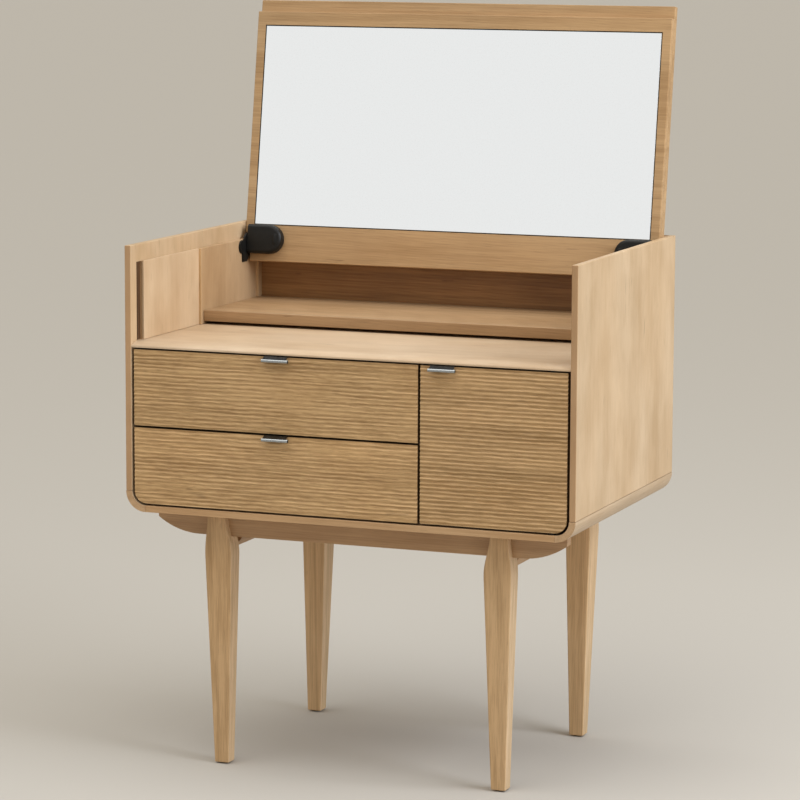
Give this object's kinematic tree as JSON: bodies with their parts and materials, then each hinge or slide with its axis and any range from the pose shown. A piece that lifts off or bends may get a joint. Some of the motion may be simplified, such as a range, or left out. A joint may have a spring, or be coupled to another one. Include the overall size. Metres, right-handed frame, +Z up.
{
  "type": "vanity table",
  "caption": "Oak vanity table on tapered legs: a ribbed-front carcass with drawers and a cupboard under a desk niche, closed by a flip-up lid with an inset mirror.",
  "frame": {"origin": "on the floor, at the middle of the box round the table with its lid open", "axes": "+Z up, +Y from the front to the back, +X to the right for someone facing the front"},
  "size_m": [0.8, 0.5782, 1.2836],
  "materials": {
    "oak": "matt lacquered oak veneer",
    "oak_ribbed": "reeded oak, slightly darker",
    "drawer_wood": "plain lacquered softwood",
    "steel": "satin steel",
    "black_plastic": "satin black",
    "glide_felt": "dense felt",
    "mirror_glass": "clear silvered glass"
  },
  "bodies": {
    "table": {"left_side_panel": "oak", "right_side_panel": "oak", "left_corner_moulding": "oak", "right_corner_moulding": "oak", "left_front_lining": "oak", "right_front_lining": "oak", "left_rear_lining": "oak", "right_rear_lining": "oak", "bottom_board": "oak", "desk_board": "oak", "rear_shelf": "oak", "back_panel": "oak", "rear_top_rail": "oak", "partition": "oak", "cupboard_shelf": "oak", "front_apron": "oak", "rear_apron": "oak", "left_rail": "oak", "right_rail": "oak", "front_left_leg": "oak", "front_right_leg": "oak", "rear_left_leg": "oak", "rear_right_leg": "oak", "door_bottom_pivot": "steel", "door_top_pivot": "steel", "door_catch": "steel", "left_hinge_plate": "black_plastic", "right_hinge_plate": "black_plastic", "upper_drawer_left_runner_rail": "steel", "upper_drawer_right_runner_rail": "steel", "lower_drawer_left_runner_rail": "steel", "lower_drawer_right_runner_rail": "steel", "front_left_glide": "glide_felt", "front_right_glide": "glide_felt", "rear_left_glide": "glide_felt", "rear_right_glide": "glide_felt"},
    "lid": {"lid_inner_board": "oak", "lid_outer_board": "oak", "mirror": "mirror_glass", "left_hinge_housing": "black_plastic", "right_hinge_housing": "black_plastic"},
    "door": {"door": "oak_ribbed", "door_handle": "steel"},
    "upper_drawer": {"upper_drawer_front": "oak_ribbed", "upper_drawer_left_side": "drawer_wood", "upper_drawer_right_side": "drawer_wood", "upper_drawer_back": "drawer_wood", "upper_drawer_base": "drawer_wood", "upper_drawer_handle": "steel", "upper_drawer_left_runner_slider": "steel", "upper_drawer_right_runner_slider": "steel"},
    "lower_drawer": {"lower_drawer_front": "oak_ribbed", "lower_drawer_left_side": "drawer_wood", "lower_drawer_right_side": "drawer_wood", "lower_drawer_back": "drawer_wood", "lower_drawer_base": "drawer_wood", "lower_drawer_handle": "steel", "lower_drawer_left_runner_slider": "steel", "lower_drawer_right_runner_slider": "steel"}
  },
  "joints": [
    {"name": "lid_hinge", "type": "hinge", "parent": "table", "child": "lid", "pos_m": [0, 0.18536, 0.852], "axis": [1, 0, 0], "range_deg": [0, 98.8]},
    {"name": "upper_drawer_slide", "type": "slide", "parent": "table", "child": "upper_drawer", "axis": [0, -1, 0], "range_m": [0, 0.3]},
    {"name": "lower_drawer_slide", "type": "slide", "parent": "table", "child": "lower_drawer", "axis": [0, -1, 0], "range_m": [0, 0.3]},
    {"name": "door_hinge", "type": "hinge", "parent": "table", "child": "door", "pos_m": [0.357, -0.26864, 0.45], "axis": [0, 0, 1], "range_deg": [0, 105]}
  ]
}
